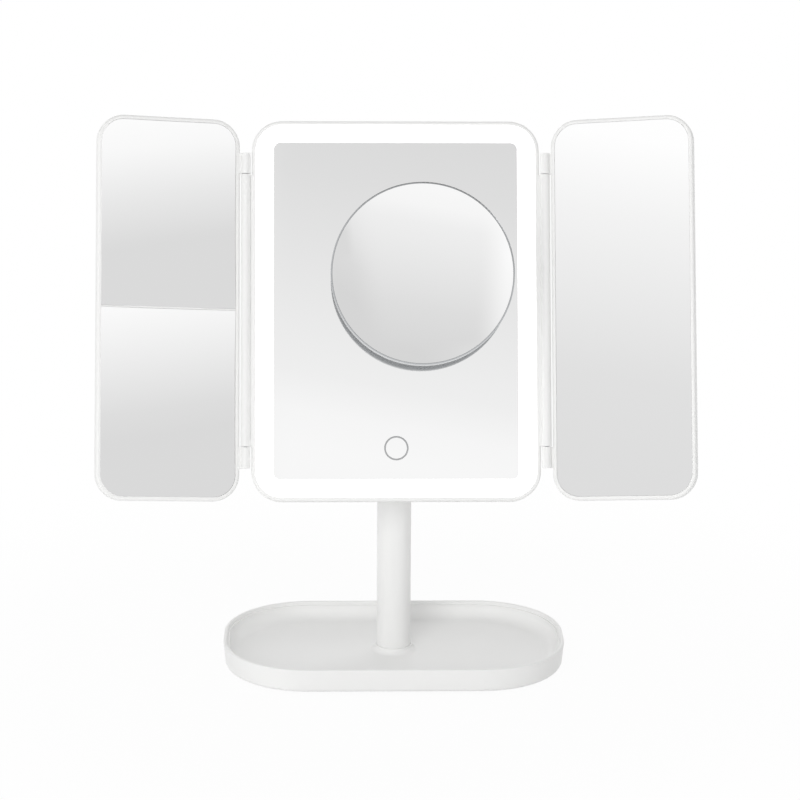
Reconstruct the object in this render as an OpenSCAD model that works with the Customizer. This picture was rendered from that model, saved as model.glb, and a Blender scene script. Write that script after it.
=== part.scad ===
// Trifold vanity mirror on a tray base, in millimetres.
// +Z is up, the mirror faces -Y, and the origin is the middle of the footprint
// on the table. The pose below is the one on display: head leaned back, wings open.

/* [Centre panel] */
// Width of the centre housing
panel_w = 172; // [150:1:200]
// Height of the centre housing and of the wings
panel_h = 228; // [200:1:260]
// Corner radius of the centre housing
panel_r = 18; // [12:0.5:24]
// Depth of the housing from front to back
panel_depth = 16; // [15:0.5:22]
// Width of the rim that shows round each mirror
rim = 2.4; // [2.2:0.1:3.5]
// Width of the lit band round the centre mirror
band = 10.6; // [8:0.1:16]
// Thickness of the flat glass and of the frosted light plate
glass = 3; // [2:0.5:4]
// Wall of the moulded housings
wall = 2; // [1.6:0.1:2.2]

/* [Wings] */
// Corner radius of the wings
wing_r = 16; // [12:0.5:22]
// Depth of a wing shell
wing_depth = 8.5; // [8.4:0.1:12]
// Gap between the two wings when both are shut
wing_gap = 0.6; // [0.4:0.1:2]
// Radius of curvature of the upper left, twice enlarging mirror
upper_curve = 850; // [650:10:1600]
// Radius of curvature of the lower left, three times enlarging mirror
lower_curve = 680; // [650:10:1600]
// Thickness of the slumped glass in the left wing
wing_glass = 2; // [1.6:0.1:2.2]
// Width of the bar between the two left mirrors
divider_w = 0.8; // [0.6:0.1:2]

/* [Hinges] */
// Diameter of the hinge barrels
barrel_d = 5.6; // [5:0.1:7]
// Length of the fixed barrel on each side of the centre panel
barrel_len = 163; // [140:1:168]
// Length of each wing knuckle above and below the barrel
knuckle_len = 12.4; // [8:0.2:14]
// Diameter of the hinge pins
hinge_pin_d = 2; // [1.6:0.1:2.6]

/* [Magnifier] */
// Diameter of the round magnifier
magnifier_d = 108.6; // [90:0.2:112]
// Sideways place of the magnifier on the centre mirror
magnifier_x = 15.4; // [8:0.2:18]
// Height of the magnifier above the middle of the centre mirror
magnifier_up = 19.4; // [0:0.2:40]
// Depth of the magnifier's case
magnifier_depth = 12; // [11:0.5:16]
// Height of the suction cups
cup_h = 10; // [8:0.5:14]
// Diameter of a suction cup's lip
cup_d = 26; // [18:1:34]
// Radius of curvature of the ten times enlarging mirror
magnifier_curve = 300; // [280:5:500]

/* [Stand] */
// Outside diameter of the post
post_d = 21; // [18:0.5:24]
// Wall of the post tube
post_wall = 1.5; // [1:0.1:2.5]
// Distance of the post behind the middle of the base
post_back = 3.5; // [0:0.5:10]
// Height of the tilt axis above the table
pivot_z = 176; // [165:1:200]
// Distance of the tilt axis behind the front of the panel
pivot_back = 34; // [33:0.5:42]
// Distance of the tilt axis below the middle of the panel
pivot_drop = 42; // [38:1:50]
// Diameter of the tilt axle
axle_d = 6; // [4:0.5:7]
// Thickness of each ear that carries the axle
ear_t = 4; // [3:0.5:6]

/* [Base] */
// Width of the tray
tray_w = 211; // [190:1:240]
// Depth of the tray from front to back
tray_d = 123; // [112:1:150]
// Corner radius of the tray
tray_r = 53; // [35:1:55]
// Height of the tray's rim
tray_h = 16.5; // [14:0.5:24]
// Height of the tray's floor
floor_z = 5.8; // [5.4:0.1:8]
// Wall of the tray
tray_wall = 2.2; // [1.8:0.1:3]
// Radius of the fillet between the tray's wall and floor
tray_fillet = 8.5; // [3:0.5:9]
// Thickness of the steel weight under the tray
weight_t = 1.6; // [1:0.1:1.8]

/* [Pose] */
// Lean of the head back from upright
head_tilt = 20; // [0:1:40]
// Left wing's turn forward from flat
left_turn = 15.5; // [0:0.5:40]
// Right wing's turn forward from flat
right_turn = 17; // [0:0.5:40]

/* [Hidden] */
$fn = 64;

white = "#eeeeec";
mirror_tone = "#d4d8da";
steel = "#b9bcc0";
rubber = "#3c3d3f";

fit = 0.1;                          // slip fit between fixed pieces
run_fit = 0.05;                     // radial clearance of a turning fit
seat = 0.3;                         // how far glass sits behind its rim

// depths in the centre panel, measured back from its front plane
glass_back = seat + glass;
tape_t = 0.4;
tape_in = 3;                        // tape and frame behind the mirror, in from its edge
tape_w = 8;
ledge_t = 1.2;
ledge_back = glass_back + ledge_t;
bezel_depth = ledge_back + 1.5;
carrier_t = 1.4;
carrier_back = glass_back + 6.5;
carrier_front = carrier_back - carrier_t;
boss_in_x = 26;                     // screw bosses, in from the panel's outline
boss_in_y = 19;
board_t = 1.2;
led_t = 1;
mirror_w = panel_w - 2 * (rim + band + fit);
mirror_h = panel_h - 2 * (rim + band + fit);
mirror_r = 4;
rebate = 1.1;                       // bezel wall beside the back shell's tongue
tongue = 0.9;
back_plate = panel_depth - wall;    // inner face of the back plate

// hinge line
side_gap = 0.7;                     // barrel to the side of the centre panel
wing_clear = 0.6;                   // barrel to the inner edge of a wing
hinge_lift = 0.25;                  // hinge axis in front of both front planes
hinge_x = panel_w / 2 + side_gap + barrel_d / 2;
wing_near = barrel_d / 2 + wing_clear;
wing_w = hinge_x - wing_near - wing_gap / 2;
knuckle_gap = 0.4;
leaf_t = 2.4;                       // web that joins a barrel to its housing
pin_grip = 10;                      // length of a hinge pin held in the barrel

// wing build-up
wing_plate = 1.6;
wing_tape_t = 0.8;
wing_tape_in = 8;                   // tape frame behind the flat glass, in from its edge
wing_tape_w = 17;
wing_pad_d = 40;                    // round pad behind each hollow glass
wing_in_w = wing_w - 2 * rim;
wing_in_h = panel_h - 2 * rim;
wing_in_r = wing_r - rim;
half_h = (wing_in_h - divider_w) / 2;

// tilt joint, measured along X from the middle
cheek = post_d / 2 - 0.5;           // half width of the knuckle
washer_t = 0.7;
ear_in = post_d / 2 + 0.3;
ear_out = ear_in + ear_t;
ear_r = 9.5;
knuckle_r = post_d / 2;
neck_h = knuckle_r + 2.5;           // knuckle's shoulder below the tilt axis
spigot_h = 16;                      // its spigot inside the post
nut_h = 4;

// battery bay, four slim cells side by side
cell_d = 10.5;
cell_len = 44.5;
cell_pitch = cell_d + 0.4;
bay_w = 4 * cell_pitch + 2;
bay_h = cell_len + 7;
bay_up = 10;                        // middle of the bay above the middle of the panel
bay_floor = carrier_back + 0.4;
bay_skin = 1.2;
cell_depth = bay_floor + bay_skin + 0.2 + cell_d / 2;
door_w = bay_w + 15;
door_h = bay_h + 13;
door_t = 1.6;
door_r = 8;
door_clear = 0.2;
door_top = cell_depth + cell_d / 2 + door_clear;
door_travel = 4.5;

// base levels
pad_t = 1.4;
cover_z = pad_t;
cover_t = 1.4;
cover_top = cover_z + cover_t;
tray_skin = floor_z - cover_top - weight_t;
draft = 1.4;                        // lean of the tray's wall
pad_in = 11;                        // margin of the pad inside the tray's outline
weight_in_x = 25;                   // margins of the steel weight
weight_in_y = 20;
weight_r = 14;
bolt_head = 13;
bolt_d = 6;
screw_d = 2.4;
screw_in_x = 38;                    // base screws, in from the tray's outline
screw_in_y = 14;
pad_hole = 6;                       // hole in the pad round a screw's head

// magnifier build-up, measured forward of the centre mirror's face
mag_back = cup_h;
mag_front = cup_h + magnifier_depth;
mag_r = magnifier_d / 2;
mag_ring = 0.9;
ring_h = 4.5;
mag_wall = 1.8;
mag_glass_t = 2.5;
cup_count = 3;
cup_ring_r = 28;
cup_stem = 3;

// touch sensor on the centre mirror
touch_d = 14.5;
touch_line = 1;
touch_up = 18.5;                    // above the mirror's lower edge
touch_down = mirror_h / 2 - touch_up;
touch_cut = 0.3;

// ---------- outlines and sweeps ----------

// rectangle with round corners, drawn about its middle
module rounded_rect(w, h, r) {
    square([w - 2 * r, h], center = true);
    square([w, h - 2 * r], center = true);
    for (x = [-1, 1], y = [-1, 1])
        translate([x * (w / 2 - r), y * (h / 2 - r)]) circle(r);
}

// rectangle from the origin with a radius of its own at each corner
module soft_rect(w, h, bl = 0, br = 0, tr = 0, tl = 0) {
    difference() {
        square([w, h]);
        corner_cut([0, 0], bl, [1, 1]);
        corner_cut([w, 0], br, [-1, 1]);
        corner_cut([w, h], tr, [-1, -1]);
        corner_cut([0, h], tl, [1, -1]);
    }
}

module corner_cut(at, r, way) {
    if (r > 0)
        translate(at) difference() {
            translate([way[0] > 0 ? -1 : -r, way[1] > 0 ? -1 : -r]) square(r + 1);
            translate([way[0] * r, way[1] * r]) circle(r);
        }
}

// long hole or slot outline
module obround(w, h) {
    square([w - h, h], center = true);
    for (x = [-1, 1]) translate([x * (w - h) / 2, 0]) circle(h / 2);
}

// carries a profile round a rounded rectangle and fills the middle between two levels;
// the profile's x runs out from the corner's centre, and its y is the height
module sweep_round(w, h, r, low = 0, high = 0) {
    for (i = [0 : 3]) {
        reach = i % 2 == 0 ? w / 2 - r : h / 2 - r;
        run = i % 2 == 0 ? h - 2 * r : w - 2 * r;
        rotate([0, 0, 90 * i]) translate([reach, run / 2, 0]) {
            rotate([90, 0, 0]) linear_extrude(run) children();
            rotate_extrude(angle = 90) children();
        }
    }
    if (high > low)
        translate([0, 0, (low + high) / 2]) cube([w - 2 * r, h - 2 * r, high - low], center = true);
}

// the same sweep for a piece of the head: the profile's y is the depth behind the front
module sweep_depth(w, h, r, low = 0, high = 0) {
    rotate([90, 0, 0])
        sweep_round(w, h, r, -high, -low) mirror([0, 1, 0]) children();
}

// flat piece of the head between two depths, from an outline seen from the front
module plate(front, back) {
    translate([0, back, 0]) rotate([90, 0, 0]) linear_extrude(back - front) children();
}

// round bar that runs back from a depth
module bar_back(front, back, d) {
    plate(front, back) circle(d = d);
}

// ---------- frames ----------

// middle of the centre panel's front face: X right, Y into the panel, Z up the panel
module on_head() {
    translate([0, post_back, pivot_z]) rotate([-head_tilt, 0, 0])
        translate([0, -pivot_back, pivot_drop]) children();
}

// hinge axis of the right wing, the wing lying along +X
module on_right_wing() {
    on_head() translate([hinge_x, -hinge_lift, 0]) rotate([0, 0, -right_turn]) children();
}

// hinge axis of the left wing, drawn as a right wing and mirrored
module on_left_wing() {
    on_head() translate([-hinge_x, -hinge_lift, 0]) rotate([0, 0, left_turn])
        mirror([1, 0, 0]) children();
}

// middle of a wing's front face in its own frame
module wing_middle() {
    translate([wing_near + wing_w / 2, hinge_lift, 0]) children();
}

// middle of the magnifier on the centre mirror's face, Y pointing into the mirror
module on_magnifier() {
    on_head() translate([magnifier_x, seat, magnifier_up]) children();
}

// tilt axis, with X along the axle
module on_pivot() {
    translate([0, post_back, pivot_z]) children();
}

// ---------- base ----------

function screw_spots() = [for (x = [-1, 1], y = [-1, 1])
    [x * (tray_w / 2 - screw_in_x), y * (tray_d / 2 - screw_in_y)]];

module tray_outer() {
    // drafted wall: the rim is the widest line, the lower edge is rounded
    polygon([[0, cover_z], [tray_r - draft, cover_z], [tray_r, tray_h], [0, tray_h]]);
}

// outer solid of the tray, with a soft lower edge and a rounded rim
module tray_profile() {
    edge = 2.6;
    difference() {
        tray_outer();
        translate([tray_r - draft - edge, cover_z]) difference() {
            translate([0, -1]) square([edge + 2, edge + 1]);
            translate([0, edge]) circle(edge);
            translate([-1, edge]) square([edge + 4, 2]);
        }
        translate([tray_r - tray_wall / 2, tray_h - tray_wall / 2]) difference() {
            square(tray_wall);
            circle(tray_wall / 2);
        }
    }
}

// dish of the tray, with a wide fillet to the floor
module dish_profile() {
    inner = tray_r - tray_wall;
    low = inner - draft;
    difference() {
        union() {
            polygon([[0, floor_z], [low, floor_z], [inner, tray_h], [inner, tray_h + 2], [0, tray_h + 2]]);
            // rounded inner edge of the rim
            translate([inner, tray_h - tray_wall / 2]) difference() {
                translate([-0.5, 0]) square([tray_wall / 2 + 0.5, tray_wall / 2 + 1]);
                translate([tray_wall / 2, 0]) circle(tray_wall / 2);
            }
        }
        translate([low - tray_fillet, floor_z]) difference() {
            square([tray_fillet + draft + 2, tray_fillet]);
            translate([0, tray_fillet]) circle(tray_fillet);
        }
    }
}

module tray() {
    under_w = tray_w - 2 * (draft + tray_wall);
    under_d = tray_d - 2 * (draft + tray_wall);
    under_r = tray_r - draft - tray_wall;
    boss_d = 7;
    color(white) difference() {
        union() {
            difference() {
                sweep_round(tray_w, tray_d, tray_r, cover_z, tray_h) tray_profile();
                sweep_round(tray_w, tray_d, tray_r, floor_z, tray_h + 2) dish_profile();
                translate([0, 0, cover_z - 1])
                    linear_extrude(floor_z - tray_skin - cover_z + 1) rounded_rect(under_w, under_d, under_r);
            }
            for (p = screw_spots())
                translate([p[0], p[1], cover_top])
                    cylinder(d = boss_d, h = floor_z - tray_skin - cover_top + 0.5);
            // collar that flares into the floor round the post
            translate([0, post_back, floor_z - 0.5]) rotate_extrude() collar_profile();
        }
        for (p = screw_spots())
            translate([p[0], p[1], cover_top - 1]) cylinder(d = screw_d, h = floor_z - cover_top);
        translate([0, post_back, 0]) cylinder(d = bolt_d + 2 * fit, h = floor_z + 2);
    }
}

module collar_profile() {
    flare = 3.4;
    inner = post_d / 2 + fit;
    difference() {
        translate([inner, 0]) square([flare + 0.8, flare + 0.5]);
        translate([inner + flare + 0.8, flare + 0.5]) circle(flare);
    }
}

module base_cover() {
    reach = draft + tray_wall + fit;
    color(white) translate([0, 0, cover_z]) difference() {
        linear_extrude(cover_t) rounded_rect(tray_w - 2 * reach, tray_d - 2 * reach, tray_r - reach);
        for (p = screw_spots()) translate([p[0], p[1], 0]) {
            translate([0, 0, -1]) cylinder(d = screw_d + 0.2, h = cover_t + 2);
            translate([0, 0, -0.01]) cylinder(d1 = 2 * screw_d + 0.2, d2 = screw_d + 0.2, h = screw_d / 2);
        }
    }
}

module ballast() {
    color(steel) translate([0, 0, cover_top]) difference() {
        linear_extrude(weight_t) rounded_rect(tray_w - 2 * weight_in_x, tray_d - 2 * weight_in_y, weight_r);
        translate([0, post_back, -1]) cylinder(d = bolt_head + 2, h = weight_t + 2);
    }
}

// non-slip pad under the whole base, punched for the screws
module base_pad() {
    color(rubber) linear_extrude(pad_t) difference() {
        rounded_rect(tray_w - 2 * pad_in, tray_d - 2 * pad_in, tray_r - pad_in);
        for (p = screw_spots()) translate(p) circle(d = pad_hole);
    }
}

module base_screws() {
    color(steel) for (p = screw_spots()) translate([p[0], p[1], cover_z]) {
        cylinder(d1 = 2 * screw_d, d2 = screw_d, h = screw_d / 2 - 0.1);
        cylinder(d = screw_d, h = floor_z - cover_z - 1.2);
    }
}

// ---------- post ----------

module post_tube() {
    top = pivot_z - neck_h;
    color(white) translate([0, post_back, floor_z]) difference() {
        cylinder(d = post_d, h = top - floor_z);
        translate([0, 0, -1]) cylinder(d = post_d - 2 * post_wall, h = top - floor_z + 2);
    }
}

plug_h = 18;
bolt_short = 6;                     // bolt's end below the plug's top

module post_foot() {
    color(steel) translate([0, post_back, floor_z]) difference() {
        cylinder(d = post_d - 2 * post_wall, h = plug_h);
        translate([0, 0, -1]) cylinder(d = bolt_d, h = plug_h - 3);
    }
}

module post_bolt() {
    head_h = floor_z - tray_skin - cover_top;
    color(steel) translate([0, post_back, cover_top]) {
        difference() {
            cylinder(d = bolt_head, h = head_h);
            translate([0, 0, -1]) cylinder(d = 0.35 * bolt_head, h = 0.55 * head_h + 1, $fn = 6);
        }
        translate([0, 0, head_h]) cylinder(d = bolt_d, h = tray_skin + plug_h - bolt_short);
    }
}

module tilt_knuckle() {
    color(white) on_pivot() difference() {
        union() {
            rotate([0, 90, 0]) cylinder(r = knuckle_r, h = 2 * cheek, center = true);
            intersection() {
                translate([0, 0, -neck_h]) cylinder(r = knuckle_r, h = neck_h);
                translate([-cheek, -knuckle_r, -neck_h]) cube([2 * cheek, 2 * knuckle_r, neck_h]);
            }
            translate([0, 0, -neck_h - spigot_h]) cylinder(d = post_d - 2 * post_wall, h = spigot_h);
        }
        rotate([0, 90, 0]) cylinder(d = axle_d + 2 * run_fit, h = 4 * cheek, center = true);
    }
}

module tilt_axle() {
    head_t = 2.2;
    color(steel) on_pivot() rotate([0, 90, 0]) {
        translate([0, 0, -ear_out]) cylinder(d = axle_d, h = 2 * ear_out + nut_h + 1);
        translate([0, 0, -ear_out - head_t]) rotate_extrude()
            soft_rect(axle_d * 0.9, head_t, br = 1.2);
    }
}

module tilt_washers() {
    color(steel) on_pivot() for (side = [-1, 1])
        rotate([0, side * 90, 0]) translate([0, 0, cheek + run_fit]) difference() {
            cylinder(d = 2 * ear_r - 2, h = washer_t);
            translate([0, 0, -1]) cylinder(d = axle_d + 2 * run_fit, h = washer_t + 2);
        }
}

module axle_nut() {
    plain_t = 1;                    // plain washer under the nut
    color(steel) on_pivot() rotate([0, 90, 0]) translate([0, 0, ear_out]) difference() {
        union() {
            cylinder(d = 2.15 * axle_d, h = plain_t);
            translate([0, 0, plain_t]) cylinder(d = 1.9 * axle_d, h = nut_h, $fn = 6);
        }
        translate([0, 0, -1]) cylinder(d = axle_d, h = nut_h + plain_t + 2);
    }
}

module ear_caps() {
    high = 6.4;
    color(white) on_pivot() for (side = [-1, 1])
        rotate([0, side * 90, 0]) translate([0, 0, ear_out]) rotate_extrude() difference() {
            soft_rect(ear_r - 0.2, high, tr = 2.4);
            translate([-1, -1]) square([ear_r - 1.4 + 1, high - 1.2 + 1]);
        }
}

// ---------- centre panel ----------

// point where a line from p touches a circle at c, on its upper (1) or lower (-1) side
function touch_point(p, c, r, side) =
    let (d = c - p, far = norm(d), turn = acos(r / far), back = atan2(-d[1], -d[0]))
    c + r * [cos(back - side * turn), sin(back - side * turn)];

module centre_bezel() {
    color(white) on_head() difference() {
        union() {
            sweep_depth(panel_w, panel_h, panel_r) difference() {
                union() {
                    translate([panel_r - rim, 0]) soft_rect(rim, ledge_back, br = 1.5, bl = 0.4);
                    translate([panel_r - rebate, ledge_back - 0.5])
                        square([rebate, bezel_depth - ledge_back + 0.5]);
                    translate([panel_r - rim - 1.6, glass_back]) square([1.7, ledge_t]);
                }
            }
            // fixed barrels, each on a leaf along the side of the bezel
            for (side = [-1, 1]) {
                translate([side * hinge_x, -hinge_lift, -barrel_len / 2])
                    cylinder(d = barrel_d, h = barrel_len);
                translate([side > 0 ? panel_w / 2 - 0.8 : -hinge_x, 0.2, -barrel_len / 2])
                    cube([hinge_x - panel_w / 2 + 0.8, leaf_t, barrel_len]);
            }
        }
        for (side = [-1, 1], end = [-1, 1])
            translate([side * hinge_x, -hinge_lift, end * (barrel_len / 2 - pin_grip / 2 + 0.5)])
                cylinder(d = hinge_pin_d, h = pin_grip + 1, center = true);
    }
}

module hinge_pins() {
    long = pin_grip + knuckle_gap + knuckle_len - 0.6;
    color(steel) on_head() for (side = [-1, 1], end = [-1, 1])
        translate([side * hinge_x, -hinge_lift, end * (barrel_len / 2 - pin_grip + long / 2)])
            cylinder(d = hinge_pin_d, h = long, center = true);
}

module light_outline() {
    rounded_rect(panel_w - 2 * rim - 2 * fit, panel_h - 2 * rim - 2 * fit, panel_r - rim - fit);
}

module light_diffuser() {
    color("white") on_head() plate(seat, glass_back) difference() {
        light_outline();
        rounded_rect(mirror_w + 2 * fit, mirror_h + 2 * fit, mirror_r + fit);
    }
}

module touch_outline() {
    translate([0, -touch_down]) difference() {
        circle(d = touch_d);
        circle(d = touch_d - 2 * touch_line);
    }
}

module centre_mirror() {
    color(mirror_tone) on_head() difference() {
        plate(seat, glass_back) rounded_rect(mirror_w, mirror_h, mirror_r);
        plate(seat - 1, seat + touch_cut) touch_outline();
    }
}

module touch_ring() {
    color("#a5a7a8") on_head() plate(seat, seat + touch_cut) touch_outline();
}

// the centre mirror's outline drawn in by a margin
module inset_mirror(margin) {
    rounded_rect(mirror_w - 2 * margin, mirror_h - 2 * margin, mirror_r - 1);
}

module tape_outline() {
    difference() {
        inset_mirror(tape_in);
        inset_mirror(tape_in + tape_w);
    }
}

module mirror_tape() {
    color("#5b5d60") on_head() plate(glass_back, glass_back + tape_t) tape_outline();
}

function carrier_spots() = [for (x = [-1, 1], y = [-1, 0, 1])
    [x * (panel_w / 2 - boss_in_x), y * (panel_h / 2 - boss_in_y)]];

module carrier_outline() {
    inset = rim + fit + 0.7;
    rounded_rect(panel_w - 2 * inset, panel_h - 2 * inset, panel_r - inset);
}

// white plate behind the mirror: reflects the light and carries the glass and the boards
module mirror_carrier() {
    color("#f4f4f2") on_head() difference() {
        union() {
            plate(carrier_front, carrier_back) carrier_outline();
            plate(glass_back + tape_t, carrier_front + 0.1) difference() {
                inset_mirror(tape_in);
                inset_mirror(tape_in + wall);
            }
            // ribs that stiffen the middle
            plate(carrier_front - 2.5, carrier_front + 0.1) {
                for (z = [-1, 1]) translate([0, z * mirror_h / 4])
                    square([mirror_w - 2 * tape_in - wall, rib_t], center = true);
                for (x = [-1, 1]) translate([x * mirror_w / 4, 0])
                    square([rib_t, mirror_h - 2 * tape_in - wall], center = true);
            }
            for (p = carrier_spots())
                translate([p[0], 0, p[1]]) bar_back(carrier_back - 0.1, back_plate, 6);
            for (p = board_spots())
                translate([p[0], 0, p[1]]) bar_back(carrier_back - 0.1, board_front, 4);
        }
        translate([0, 0, -touch_down]) bar_back(0, carrier_back + 1, 12);
        for (p = carrier_spots())
            translate([p[0], 0, p[1]]) bar_back(carrier_back, back_plate + 1, 2.2);
    }
}

led_ring_w = panel_w - 2 * rim - band;
led_ring_h = panel_h - 2 * rim - band;

module led_board() {
    wide = 6;
    color("#dfe6e2") on_head() plate(carrier_front - board_t, carrier_front) difference() {
        rounded_rect(led_ring_w + wide, led_ring_h + wide, panel_r - rim - band / 2 + wide / 2);
        rounded_rect(led_ring_w - wide, led_ring_h - wide, panel_r - rim - band / 2 - wide / 2);
    }
}

// lamps along the four straight runs of the ring board
module leds() {
    front = carrier_front - board_t - led_t;
    pitch = 15;
    corner = 15;                    // free of lamps at each corner
    across = floor((led_ring_w - 2 * corner) / pitch);
    up = floor((led_ring_h - 2 * corner) / pitch);
    color("#f6edc0") on_head() {
        for (i = [0 : across], z = [-1, 1])
            translate([(i - across / 2) * pitch, front, z * led_ring_h / 2]) led();
        for (i = [0 : up], x = [-1, 1])
            translate([x * led_ring_w / 2, front, (i - up / 2) * pitch]) led();
    }
}

module led() {
    translate([0, led_t / 2, 0]) cube([3.5, led_t, 2.8], center = true);
}

board_front = carrier_back + 0.4;
board_t2 = 1;
board_w = 52;
board_h = 34;
board_left = -14;                   // left edge of the control board
board_low = -touch_down - 23.6;     // its lower edge
board_in = 4;                       // its posts, in from each corner
usb_right = 40;                     // power inlet, from the board's lower left corner
usb_up = 13;
usb = [board_left + usb_right, board_low + usb_up];

function board_spots() = [for (x = [board_in, board_w - board_in], z = [board_in, board_h - board_in])
    [board_left + x, board_low + z]];

module control_board() {
    face = board_front + board_t2;
    color("#2f6b4a") on_head() translate([board_left, 0, board_low]) {
        plate(board_front, face) square([board_w, board_h]);
        // lamp driver, touch controller and two capacitors
        translate([board_w * 0.55, face, board_h * 0.62]) cube([7, 1.2, 5]);
        translate([board_w * 0.08, face, board_h * 0.3]) cube([5, 1.2, 4]);
        for (x = [0.36, 0.5]) translate([board_w * x, 0, board_h * 0.28]) bar_back(face, face + 2.6, 5);
    }
}

module touch_contact() {
    color("#77797c") on_head() translate([0, 0, -touch_down])
        bar_back(glass_back, board_front, 9);
}

module usb_socket() {
    color(steel) on_head() translate([usb[0], 0, usb[1]]) {
        plate(board_front + board_t2, panel_depth - 0.4) difference() {
            obround(8.9, 3.2);
            obround(8.3, 2.6);
        }
        plate(board_front + board_t2, board_front + board_t2 + 0.8) obround(8.6, 2.9);
        plate(board_front + board_t2, panel_depth - 1.4) square([6.6, 0.7], center = true);
    }
}

ear_root = 15;                      // half height of an ear where it leaves the back plate
rib_t = 1.2;
rib_h = 2;
rib_in = 40;                        // upright ribs, in from the panel's sides

// drawn in depth and height, with the tilt axis at (pivot_back, 0)
module ear_outline() {
    root = ear_root;
    from = panel_depth - 0.6;
    hub = [pivot_back, 0];
    translate(hub) circle(ear_r);
    polygon([[from, -root], touch_point([from, -root], hub, ear_r, -1), hub,
             touch_point([from, root], hub, ear_r, 1), [from, root]]);
}

module back_shell() {
    color(white) on_head() difference() {
        union() {
            sweep_depth(panel_w, panel_h, panel_r, back_plate, panel_depth) {
                difference() {
                    translate([0, bezel_depth]) soft_rect(panel_r, panel_depth - bezel_depth, tr = 5);
                    translate([-1, bezel_depth - 1])
                        soft_rect(panel_r - wall + 1, back_plate - bezel_depth + 1, tr = 3.2);
                }
                // tongue that locates in the bezel
                translate([panel_r - rebate - fit - tongue, ledge_back + 0.2])
                    square([tongue, bezel_depth - ledge_back + 0.3]);
            }
            // battery bay
            translate([0, 0, bay_up]) plate(bay_floor, back_plate + 0.5)
                rounded_rect(bay_w + 2 * bay_skin, bay_h + 2 * bay_skin, 2);
            // two ears that carry the tilt axle, with a rib down the plate from each
            for (side = [-1, 1]) {
                translate([side * (ear_in + ear_out) / 2 - ear_t / 2, 0, -pivot_drop])
                    rotate([90, 0, 90]) linear_extrude(ear_t) ear_outline();
                translate([side * (ear_in + ear_out) / 2, 0, -pivot_drop])
                    plate(back_plate - rib_h, back_plate + 0.1) square([wall, 3 * ear_root], center = true);
            }
            // ribs that stiffen the back plate
            plate(back_plate - rib_h, back_plate + 0.1) {
                for (z = [-1, 1]) translate([0, z * panel_h / 4])
                    square([panel_w - 2 * wall - 1, rib_t], center = true);
                for (x = [-1, 1]) translate([x * (panel_w / 2 - rib_in) - rib_t / 2, -panel_h / 4])
                    square([rib_t, panel_h * 0.75 - wall - 0.5]);
            }
        }
        translate([0, 0, bay_up]) plate(bay_floor + bay_skin, panel_depth + 1)
            rounded_rect(bay_w, bay_h, 1.5);
        // slots for the door's four hooks, wider at the top where the hooks drop in
        for (x = [-1, 1], z = hook_spots()) {
            translate([x * hook_x, 0, z + door_travel / 2]) plate(back_plate - 1, panel_depth + 1)
                square([hook_t + 0.8, hook_w + door_travel + 0.6], center = true);
            translate([x * (hook_x - hook_foot / 2), 0, z + door_travel])
                plate(back_plate - 1, panel_depth + 1)
                    square([hook_t + hook_foot + 0.6, hook_w + 0.6], center = true);
        }
        translate([0, 0, -pivot_drop]) translate([0, pivot_back, 0])
            rotate([0, 90, 0]) cylinder(d = axle_d + fit, h = 4 * ear_out, center = true);
        translate([usb[0], 0, usb[1]]) plate(back_plate - 1, panel_depth + 1) obround(9.6, 3.9);
        for (p = carrier_spots()) translate([p[0], 0, p[1]]) {
            bar_back(back_plate - 1, panel_depth + 1, 2.8);
            bar_back(panel_depth - 1.2, panel_depth + 1, 5.4);
        }
    }
}

module back_screws() {
    color(steel) on_head() for (p = carrier_spots()) translate([p[0], 0, p[1]]) {
        bar_back(carrier_back + 0.6, panel_depth - 1, 2.2);
        difference() {
            bar_back(panel_depth - 1.2, panel_depth - 0.1, 5);
            plate(panel_depth - 0.7, panel_depth + 1) for (a = [0, 90])
                rotate(a) square([3, 0.7], center = true);
        }
    }
}

module cells() {
    nub = 1;
    color("#c9ccd0") on_head() for (i = [0 : 3]) {
        way = i % 2 == 0 ? 1 : -1;
        translate([(i - 1.5) * cell_pitch, cell_depth, bay_up]) {
            cylinder(d = cell_d, h = cell_len - 2 * nub, center = true);
            translate([0, 0, way * (cell_len / 2 - nub / 2)]) cylinder(d = 3.8, h = nub, center = true);
            translate([0, 0, -way * (cell_len / 2 - nub * 0.75)]) cylinder(d = 8, h = nub / 2, center = true);
        }
    }
}

module battery_contacts() {
    strip = 0.4;
    color(steel) on_head() for (i = [0 : 3], end = [-1, 1]) {
        way = i % 2 == 0 ? 1 : -1;
        flat = end == way;
        reach = flat ? bay_h / 2 - cell_len / 2 : bay_h / 2 - cell_len / 2 + 0.5;
        translate([(i - 1.5) * cell_pitch, cell_depth, bay_up + end * bay_h / 2]) {
            translate([0, 0, -end * strip / 2]) cube([8.4, 8.4, strip], center = true);
            // button for the plus end, tapering spring for the minus end
            if (flat)
                translate([0, 0, -end * reach / 2]) cylinder(d = 3, h = reach, center = true);
            else
                rotate([end > 0 ? 180 : 0, 0, 0]) cylinder(d1 = 7, d2 = 4.6, h = reach);
        }
    }
}

hook_t = 1.6;
hook_w = 4;
hook_foot = 2.2;
hook_x = door_w / 2 - door_t - hook_t / 2 - 0.1;
function hook_spots() = [for (z = [-1, 1]) bay_up + z * door_h / 4];

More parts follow.
